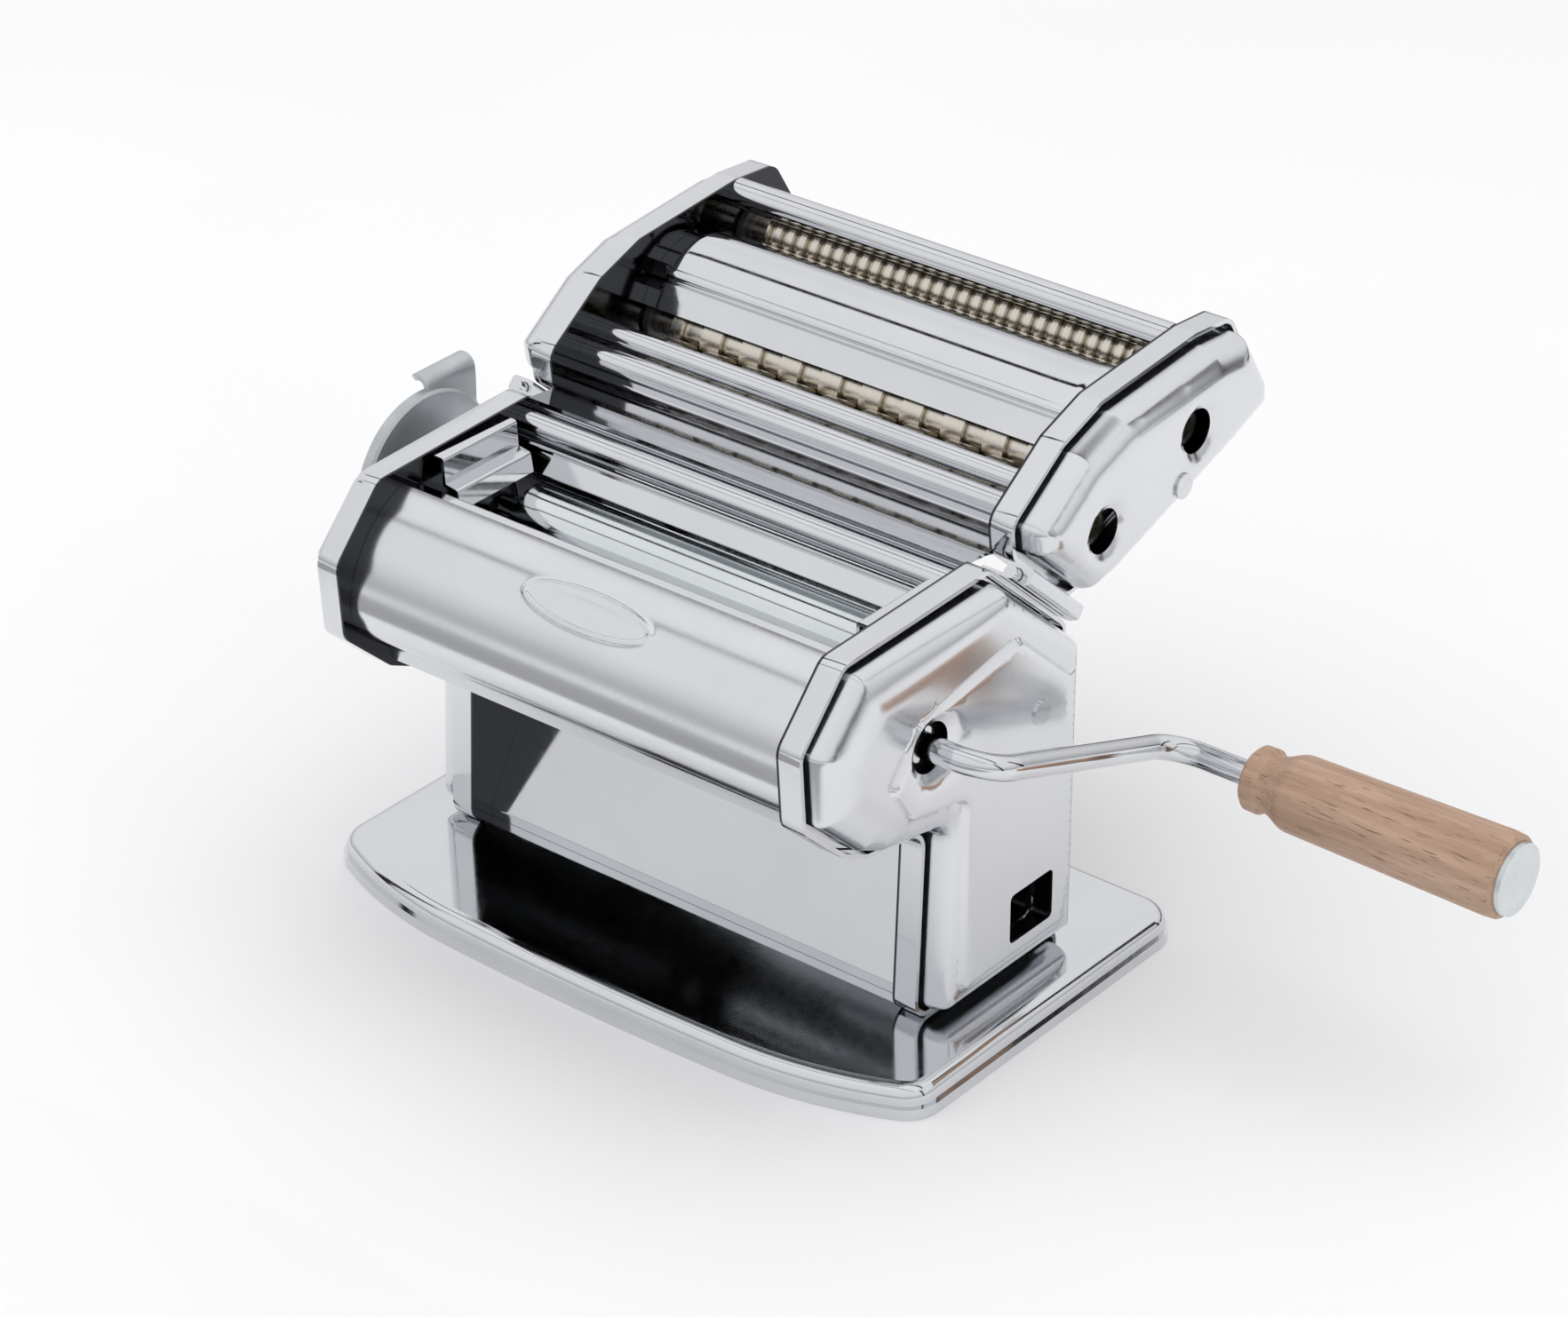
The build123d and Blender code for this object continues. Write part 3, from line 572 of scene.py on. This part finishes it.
def bodyFace(hasCrank):
    def heightOf(at, depth):
        look = bodyLook
        back = smooth((at[:, 0] - look["borderFrom"]) / look["borderOver"])
        across = look["borderBroad"] - look["borderLoss"] * back
        legs = smooth((look["legTop"] - at[:, 1]) / look["legBlend"])
        width = across * (1 - legs) + look["legBorder"] * legs
        reach = np.clip((depth - look["groove"]) / width, 0, 1)
        x = shoulder(look, reach)
        x = np.where(depth < look["groove"], look["grooveX"], x)
        x += look["fieldRise"] * smooth(depthInside(fieldLoop, at) / look["fieldBevel"])
        if hasCrank:
            y, z, radius = look["crank"]
            away = np.hypot(at[:, 0] - y, at[:, 1] - z) - radius
            x -= look["crankDish"] * (1 - smooth(away / look["crankLip"]))
        return x
    return heightOf


fieldIn = np.roll(fieldLoop, -1, 0) - np.roll(fieldLoop, 1, 0)
fieldIn = np.stack([fieldIn[:, 1], -fieldIn[:, 0]], 1) / np.linalg.norm(fieldIn, axis=1)[:, None]
bodyLook["creases"] = [fieldLoop + fieldIn * inset for inset in bodyLook["fieldFolds"]]
windowLoop = roundedLoop(bodyLook["window"], bodyLook["windowCorner"], 1.0)
screwLoop = circleLoop(*bodyLook["screw"], 20)
rightCover = pressedShell("rightSideCover", 1, bodyLook, bodyLook["outline"],
                          [windowLoop, screwLoop, circleLoop(*bodyLook["crank"])], bodyFace(True))
leftCover = pressedShell("leftSideCover", -1, bodyLook, bodyLook["outline"],
                         [windowLoop, screwLoop, circleLoop(*bodyLook["spindle"])], bodyFace(False))
for cover, node in ((rightCover, "right_cover"), (leftCover, "left_cover")):
    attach(cover, "body")
    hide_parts(node)
print("side covers pressed")

# covers of the cutter head: one smooth crown from rim to face, two crank holes on the right
cutterLook = {
    "finish": "satinChromeCover", "sheet": 1.0, "corner": 5.2, "sharp": 40, "step": 1.5, "grid": 2.3,
    "rings": (0.8, 1.65, 1.8, 2.2, 2.8, 3.6, 4.6), "wallX": 92.0,
    "groove": 1.7, "grooveX": 93.0, "rimX": 99.4, "faceX": 109.95, "crownWidth": 11.0, "crown": 2.2,
    "outline": [(15.3, 158.3), (13.9, 169.1), (38.8, 186.4), (58.4, 193.2), (107.9, 197.2), (127.0, 195.8),
                (140.2, 174.5), (140.2, 164.2), (117.4, 155.7), (55.5, 135.8), (43.1, 133.9)],
    "holes": [(46.4, 157.5, 7.6), (95.5, 172.8, 7.6)], "lip": 3.2, "dish": 1.6,
    "screw": (86.9, 157.4, 2.5),
}


def cutterFace(holes):
    def heightOf(at, depth):
        look = cutterLook
        reach = np.clip((depth - look["groove"]) / look["crownWidth"], 0, 1)
        x = shoulder(look, reach)
        x = np.where(depth < look["groove"], look["grooveX"], x)
        for y, z, radius in holes:
            away = np.hypot(at[:, 0] - y, at[:, 1] - z) - radius
            x -= look["dish"] * (1 - smooth(away / look["lip"]))
        return x
    return heightOf


cutterScrew = circleLoop(*cutterLook["screw"], 20)
headRight = pressedShell("cutterRightCover", 1, cutterLook, cutterLook["outline"],
                         [cutterScrew] + [circleLoop(*hole) for hole in cutterLook["holes"]],
                         cutterFace(cutterLook["holes"]))
headLeft = pressedShell("cutterLeftCover", -1, cutterLook, cutterLook["outline"],
                        [cutterScrew], cutterFace([]))
for cover, node in ((headRight, "cutter_right_cover"), (headLeft, "cutter_left_cover")):
    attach(cover, "cutter_head")
    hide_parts(node)
print("cutter covers pressed")

# front cover: rolled sheet with a plain raised oval where a badge would sit
frontLook = {
    "brow": ((-47.028, 115.035), 39.393, (-59.8, 152.3), (-85.8, 122.0)),   # centre, radius, from, to
    "chin": ((-69.1, 119.0), 16.97, (-85.8, 122.0), (-80.0, 106.0)),
    "lip": [(-70.6, 98.7), (-69.6, 97.6), (-69.0, 96.4), (-67.5, 91.5)],
    "half": 88.9, "sheet": 1.2, "step": 0.5,
    "oval": (1.0, 45.8, 27.0, 6.6),            # x, angle, half length, half height
    "ovalRise": 0.6, "ovalField": 0.12, "ringAt": 0.93, "ringWidth": 0.9, "fieldBlend": 1.2,
    # where the sheet is cut across: from, to, step; finely over the oval
    "wideXs": (-84, 88, 6), "ovalXs": (-28.0, 30.1, 0.5),
}


def arcPoints(centre, radius, start, end, step):
    a = math.atan2(start[1] - centre[1], start[0] - centre[0])
    b = math.atan2(end[1] - centre[1], end[0] - centre[0])
    b += 2 * math.pi * (b < a)
    count = max(2, int(radius * (b - a) / step))
    turns = [a + (b - a) * k / count for k in range(count + 1)]
    return [(centre[0] + radius * math.cos(turn), centre[1] + radius * math.sin(turn)) for turn in turns]


def widthGrid(profile, xs, shiftOf, name, material, thickness, outward):
    # a sheet with a side line and positions across the width; shiftOf moves a point out along its normal
    profile = np.array(profile)
    tangent = np.gradient(profile, axis=0)
    normal = np.stack([tangent[:, 1], -tangent[:, 0]], 1) / np.linalg.norm(tangent, axis=1)[:, None]
    if normal[len(normal) // 2] @ np.array(outward) < 0:
        normal = -normal
    vertices = []
    for x in xs:
        for k, point in enumerate(profile):
            y, z = point + normal[k] * shiftOf(x, k)
            vertices.append((x, y, z))
    count = len(profile)
    faces = [(i * count + k, (i + 1) * count + k, (i + 1) * count + k + 1, i * count + k + 1)
             for i in range(len(xs) - 1) for k in range(count - 1)]
    a, b, c = (Vector(vertices[faces[0][m]]) for m in (0, 1, 2))
    turned = (b - a).cross(c - b)
    if turned.y * normal[0][0] + turned.z * normal[0][1] < 0:
        faces = [tuple(reversed(face)) for face in faces]
    return newPiece(name, vertices, faces, material, 40, thickness)


look = frontLook
brow = arcPoints(*look["brow"], look["step"])
frontLine = brow + arcPoints(*look["chin"], look["step"])[1:] + look["lip"]
ovalX, ovalAngle, ovalHalf, ovalHigh = look["oval"]
browY, browZ = look["brow"][0]
browAngles = [math.degrees(math.atan2(z - browZ, -(y - browY))) for y, z in frontLine]


def ovalShift(x, k):
    if k >= len(brow):
        return 0.0
    up = math.radians(browAngles[k] - ovalAngle) * frontLook["brow"][1]
    e = math.hypot((x - ovalX) / ovalHalf, up / ovalHigh)
    slope = math.hypot((x - ovalX) / ovalHalf ** 2, up / ovalHigh ** 2) / max(e, 1e-6)
    away = (e - frontLook["ringAt"]) / max(slope, 1e-3)    # mm from the middle of the raised ring
    ring = frontLook["ovalRise"] * math.exp(-(away / frontLook["ringWidth"]) ** 2)
    return ring + frontLook["ovalField"] * float(smooth(-away / frontLook["fieldBlend"]))


frontXs = sorted(set([-look["half"], look["half"]] + [float(x) for x in np.arange(*look["wideXs"])]
                     + [float(x) for x in np.arange(*look["ovalXs"])]))
frontPiece = widthGrid(frontLine, frontXs, ovalShift, "frontCover", "satinChromeCover",
                       look["sheet"], (-1, 0.3))
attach(frontPiece, "body")
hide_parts("front_cover")
print("front cover rolled")

# hood between the cutters: straight front face, a small rolled rib, a wide crown, and ends that dip
hoodLook = {
    "face": [(55.5, 173.2), (59.9, 180.4)],
    "rib": [(60.4, 181.0), (61.9, 180.9), (62.6, 181.6), (62.4, 182.6), (61.9, 183.3), (62.6, 184.1)],
    "crown": [(64.4, 184.6), (70.5, 188.6), (78.0, 190.9), (84.5, 190.6), (90.0, 188.9), (94.0, 187.2)],
    "half": 88.9, "bodyHalf": 79.0, "endRound": 4.0, "endCuts": 8, "dip": 3.0, "sheet": 1.1,
    "wideXs": (-72, 73, 8),
}


def throughPoints(points, step):
    # smooth line through the points
    points = np.array([points[0]] + list(points) + [points[-1]], float)
    line = []
    for i in range(1, len(points) - 2):
        p0, p1, p2, p3 = points[i - 1:i + 3]
        count = max(2, int(np.linalg.norm(p2 - p1) / step))
        for k in range(count):
            t = k / count
            line.append(0.5 * (2 * p1 + (p2 - p0) * t + (2 * p0 - 5 * p1 + 4 * p2 - p3) * t * t
                               + (3 * p1 - p0 - 3 * p2 + p3) * t ** 3))
    return [tuple(p) for p in line] + [tuple(points[-2])]


look = hoodLook
faceFrom, faceTo = look["face"]
faceMiddle = tuple((np.array(faceFrom) + np.array(faceTo)) / 2)
hoodLine = ([faceFrom, faceMiddle, faceTo]
            + throughPoints(look["rib"], 0.5) + throughPoints(look["crown"], 1.2))


def hoodEnd(x, k):
    past = (abs(x) - hoodLook["bodyHalf"]) / hoodLook["endRound"]
    if past <= 0:
        return 0.0
    return -hoodLook["dip"] * (1 - math.sqrt(max(0.0, 1 - min(past, 1.0) ** 2)))


ends = [look["bodyHalf"] + look["endRound"] * math.sin(math.pi / 2 * k / look["endCuts"])
        for k in range(look["endCuts"] + 1)] + [look["half"]]
hoodXs = [-x for x in reversed(ends)] + [float(x) for x in np.arange(*look["wideXs"])] + ends
hoodPiece = widthGrid(hoodLine, hoodXs, hoodEnd, "cutterHood", "platedChromeSheet",
                      look["sheet"], (-0.2, 1))
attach(hoodPiece, "cutter_head")
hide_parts("cutter_hood")
print("hood rolled")

# thickness knob: turned disc with a rolled thumb lever, and a small stop in its face
knobLook = {
    "axis": bodyLook["spindle"][:2], "turns": 96, "finish": "castZinc",
    # x and radius, from the hub mouth round the disc to the face
    "profile": [(-113.5, 5.3), (-113.5, 11.4), (-114.1, 12.0), (-120.2, 12.0), (-121.0, 12.9), (-121.0, 30.1),
                (-121.9, 31.0), (-125.0, 31.0), (-126.0, 30.0), (-126.0, 28.2), (-125.3, 27.4), (-125.3, 15.2),
                (-126.0, 14.4), (-126.0, 5.3)],
    # the lever: where it lies in y, its side line in x and z, and how it narrows over its last points
    "lever": (-10.8, 12.2), "leverThick": 2.2, "leverRound": 0.7, "leverTaper": 0.16, "leverTaperOver": 4,
    "leverLine": [(-123.6, 141.0), (-123.6, 153.0), (-124.2, 156.9), (-126.2, 158.6), (-129.0, 158.4),
                  (-130.6, 156.6)],
    "stopAt": (-14.8, 146.2), "stopTurns": 40,
    "stop": [(-125.2, 0.2), (-125.2, 2.6), (-126.3, 2.9), (-126.3, 3.6), (-125.0, 3.9), (-125.0, 0.2)],
}


def turnedPiece(name, profile, y, z, count, material, sharp=35):
    # profile of (x, radius) turned about X
    vertices, faces = [], []
    for k in range(count):
        turn = 2 * math.pi * k / count
        vertices += [(x, y + r * math.cos(turn), z + r * math.sin(turn)) for x, r in profile]
    rows = len(profile)
    for k in range(count):
        after = (k + 1) % count
        here, there = k * rows, after * rows
        faces += [(here + i, here + (i + 1) % rows, there + (i + 1) % rows, there + i)
                  for i in range(rows)]
    return newPiece(name, vertices, faces, material, sharp)


look = knobLook
disc = turnedPiece("regulatorDisc", look["profile"], *look["axis"], look["turns"], look["finish"])
leverPath = np.array(throughPoints(look["leverLine"], 0.7))
leverTangent = np.gradient(leverPath, axis=0)
leverTangent /= np.linalg.norm(leverTangent, axis=1)[:, None]
leverNormal = np.stack([-leverTangent[:, 1], leverTangent[:, 0]], 1)
leverVerts, leverFaces = [], []
yFrom, yTo = look["lever"]
# the lever's section: across its width from 0 to 1, and out from its middle in thicknesses
section = [(0.0, -0.5), (0.06, -0.5), (0.94, -0.5), (1.0, -0.5),
           (1.0, 0.5), (0.94, 0.5), (0.06, 0.5), (0.0, 0.5)]
for k, (point, normal) in enumerate(zip(leverPath, leverNormal)):
    last = (len(leverPath) - 1 - k) / look["leverTaperOver"]
    shrink = 1 - look["leverTaper"] * max(0.0, 1 - last) ** 2
    for along, out in section:
        at = point + normal * out * look["leverThick"]
        middle, half = (yFrom + yTo) / 2, (yTo - yFrom) / 2 * shrink
        leverVerts.append((at[0], middle + (along * 2 - 1) * half, at[1]))
around = len(section)
for k in range(len(leverPath) - 1):
    here, there = k * around, (k + 1) * around
    leverFaces += [(here + i, here + (i + 1) % around, there + (i + 1) % around, there + i)
                   for i in range(around)]
lastRow = (len(leverPath) - 1) * around
leverFaces += [tuple(reversed(range(around))), tuple(range(lastRow, lastRow + around))]
lever = newPiece("regulatorLever", leverVerts, leverFaces, look["finish"], 60)
soft = lever.modifiers.new("round", "BEVEL")
soft.width = look["leverRound"] * mm
soft.segments = 3
soft.limit_method = "ANGLE"
soft.angle_limit = math.radians(50)
for piece in (disc, lever):
    build = bmesh.new()
    build.from_mesh(piece.data)
    bmesh.ops.recalc_face_normals(build, faces=build.faces)
    build.to_mesh(piece.data)
    build.free()
    piece.data.set_sharp_from_angle(angle=math.radians(40))
    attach(piece, "regulator")
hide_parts("regulator_knob")
stop = turnedPiece("regulatorStop", look["stop"], *look["stopAt"], look["stopTurns"], "hobbedSteel")
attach(stop, "regulator")
print("knob turned")

# floor: painted board, faintly cloudy
floorLook = {"half": 5.0, "light": "#F4F4F4", "dark": "#EFEFF0", "cloudsPerMetre": 4.0, "roughness": 0.7}
floorMaterial, floorTree = newMaterial("paintedBoard")
floorPlace = addNode(floorTree, "ShaderNodeTexCoord").outputs["Object"]
floorCloud = addNode(floorTree, "ShaderNodeTexNoise", {"Scale": floorLook["cloudsPerMetre"]},
                     {"Vector": floorPlace})
floorTint = addNode(floorTree, "ShaderNodeMix",
                    {"data_type": "RGBA", 6: linearColour(floorLook["light"]),
                     7: linearColour(floorLook["dark"])},
                    {0: floorCloud.outputs["Fac"]})
finishMaterial(floorTree, {"Roughness": floorLook["roughness"]}, {"Base Color": floorTint.outputs[2]})
floorMesh = bpy.data.meshes.new("floor")
reach = floorLook["half"]
floorCorners = [(-reach, -reach, 0), (reach, -reach, 0), (reach, reach, 0), (-reach, reach, 0)]
floorMesh.from_pydata(floorCorners, [], [(0, 1, 2, 3)])
floorMesh.materials.append(floorMaterial)
floor = bpy.data.objects.new("floor", floorMesh)
bpy.context.scene.collection.objects.link(floor)

for name, (corner, first, second, grey) in darkCards.items():
    corner, first, second = Vector(corner), Vector(first), Vector(second)
    card = bpy.data.meshes.new(name)
    card.from_pydata([corner, corner + first, corner + first + second, corner + second], [], [(0, 1, 2, 3)])
    paper, paperTree = newMaterial(name + "Paper")
    fibres = addNode(paperTree, "ShaderNodeTexNoise", {"Scale": 60.0},
                     {"Vector": addNode(paperTree, "ShaderNodeTexCoord").outputs["Object"]})
    bump = addNode(paperTree, "ShaderNodeBump", {"Strength": 0.1}, {"Height": fibres.outputs["Fac"]})
    finishMaterial(paperTree, {"Base Color": linearColour(grey), "Roughness": 0.9},
                   {"Normal": bump.outputs["Normal"]})
    card.materials.append(paper)
    cardObject = bpy.data.objects.new(name, card)
    bpy.context.scene.collection.objects.link(cardObject)
    cardObject.visible_camera = cardObject.visible_diffuse = cardObject.visible_shadow = False
print("floor and cards ready")
